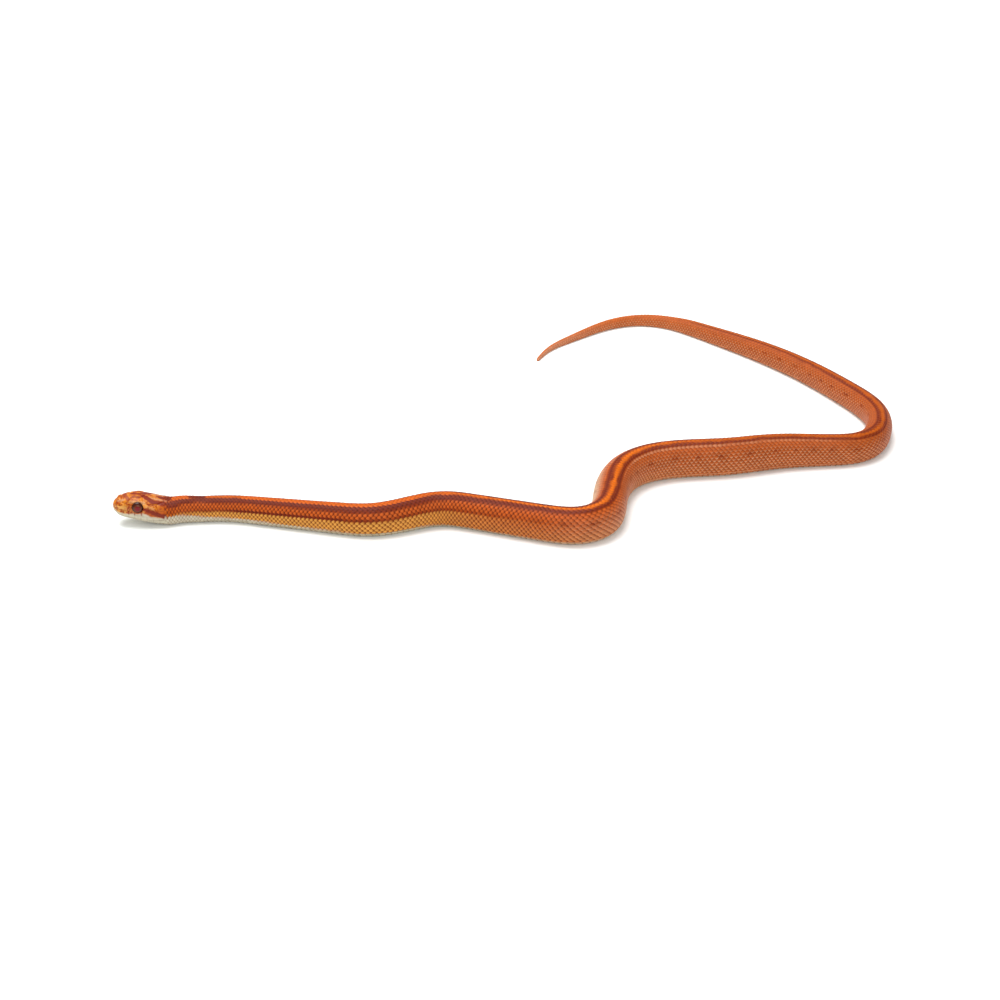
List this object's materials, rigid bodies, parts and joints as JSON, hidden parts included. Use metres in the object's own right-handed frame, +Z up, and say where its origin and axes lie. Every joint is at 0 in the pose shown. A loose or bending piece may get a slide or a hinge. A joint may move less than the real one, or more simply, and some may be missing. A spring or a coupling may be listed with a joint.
{
  "type": "corn snake model",
  "caption": "Life-size still model of a young striped corn snake, lying at rest in easy curves with its head just raised.",
  "frame": {"origin": "middle of the floor area that the snake covers, at the level it lies on", "axes": "+X from the snout's side towards the bend on the right, along the longest extent; +Z up from the floor, the shortest extent; +Y away from the camera of the picture"},
  "size_m": [0.2053, 0.1381, 0.0094],
  "materials": {
    "crown": "satin scaled skin",
    "jaw": "satin scaled skin, pale",
    "flank": "satin scaled skin, striped",
    "tail": "satin scaled skin",
    "eye": "wet gloss"
  },
  "bodies": {
    "root": {"head": "crown", "jaw": "jaw", "eye_left": "eye", "eye_right": "eye", "neck": "flank", "torso_1": "flank", "torso_2": "flank", "torso_3": "flank", "torso_4": "flank", "torso_5": "flank", "torso_6": "flank", "torso_7": "flank", "torso_8": "flank", "torso_9": "flank", "torso_10": "flank", "tail_1": "tail", "tail_2": "tail", "tail_3": "tail"}
  },
  "joints": []
}
